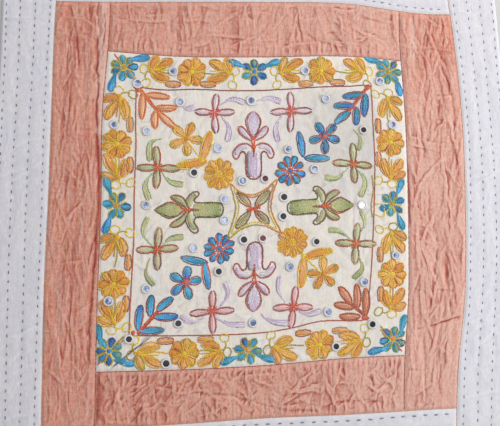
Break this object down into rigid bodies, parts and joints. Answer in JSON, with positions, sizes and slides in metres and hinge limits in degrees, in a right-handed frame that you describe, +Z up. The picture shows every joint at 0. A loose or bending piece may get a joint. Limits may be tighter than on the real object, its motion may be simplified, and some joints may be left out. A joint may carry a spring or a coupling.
{
  "type": "ralli quilt",
  "caption": "Small square quilt lying flat: an embroidered mirror-work panel in a crinkled coral frame, inside a white border quilted with rows of running stitch.",
  "frame": {"origin": "middle of the quilt's outline, on the surface that it lies on", "axes": "+X to the quilt's right and +Y to its top, as it is seen from above, and +Z up from the surface"},
  "size_m": [0.704, 0.702, 0.0052],
  "materials": {
    "cotton_cream": "matte",
    "cotton_coral": "matte",
    "cotton_white": "matte",
    "mirror_glass": "gloss",
    "thread_gold": "satin",
    "thread_blue": "satin",
    "thread_green": "satin",
    "thread_lilac": "satin",
    "thread_coral": "satin",
    "thread_white": "satin",
    "thread_slate": "matte"
  },
  "bodies": {
    "root": {"panel_embroidered": "cotton_cream", "coral_strip_left": "cotton_coral", "coral_strip_right": "cotton_coral", "coral_strip_top": "cotton_coral", "coral_strip_bottom": "cotton_coral", "white_strip_left": "cotton_white", "white_strip_right": "cotton_white", "white_strip_top": "cotton_white", "white_strip_bottom": "cotton_white", "mirror_01": "mirror_glass", "mirror_02": "mirror_glass", "mirror_03": "mirror_glass", "mirror_04": "mirror_glass", "mirror_05": "mirror_glass", "mirror_06": "mirror_glass", "mirror_07": "mirror_glass", "mirror_08": "mirror_glass", "mirror_09": "mirror_glass", "mirror_10": "mirror_glass", "mirror_11": "mirror_glass", "mirror_12": "mirror_glass", "mirror_13": "mirror_glass", "mirror_14": "mirror_glass", "mirror_15": "mirror_glass", "mirror_16": "mirror_glass", "mirror_17": "mirror_glass", "mirror_18": "mirror_glass", "mirror_19": "mirror_glass", "mirror_20": "mirror_glass", "mirror_21": "mirror_glass", "mirror_22": "mirror_glass", "mirror_23": "mirror_glass", "mirror_24": "mirror_glass", "mirror_25": "mirror_glass", "mirror_26": "mirror_glass", "mirror_27": "mirror_glass", "mirror_28": "mirror_glass", "mirror_29": "mirror_glass", "mirror_30": "mirror_glass", "mirror_31": "mirror_glass", "mirror_32": "mirror_glass", "mirror_33": "mirror_glass", "mirror_34": "mirror_glass", "mirror_35": "mirror_glass", "mirror_36": "mirror_glass", "mirror_37": "mirror_glass", "mirror_38": "mirror_glass", "mirror_39": "mirror_glass", "mirror_40": "mirror_glass"}
  },
  "joints": []
}
